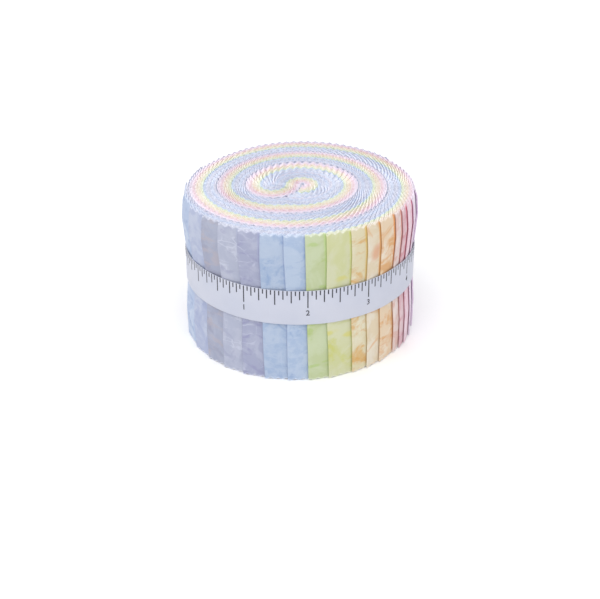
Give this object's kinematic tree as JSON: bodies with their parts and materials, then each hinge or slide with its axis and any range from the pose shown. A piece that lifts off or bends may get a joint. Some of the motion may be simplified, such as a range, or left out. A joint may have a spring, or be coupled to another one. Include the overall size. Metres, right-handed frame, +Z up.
{
  "type": "roll of precut fabric strips",
  "caption": "Pinked cotton quilting strips, each folded in half, stacked and wound into one round flat-ended roll, held by a measuring tape with inch marks.",
  "frame": {"origin": "middle of the roll's flat lower end, on the surface it stands on", "axes": "+Z up along the roll's winding axis; -Y towards the viewer, where the middle strips' folds show"},
  "size_m": [0.0953, 0.0954, 0.0635],
  "materials": {
    "printed_cotton": "matte plain-weave quilting cotton in pale mottled prints, pinked edges",
    "tape_weave": "smooth woven tape, faint sheen, dark printed inch marks and plain numbers",
    "tape_print": "dark gray printing ink lying in the tape's weave"
  },
  "bodies": {
    "root": {"strip_roll": "printed_cotton", "measuring_tape": "tape_weave"}
  },
  "joints": []
}
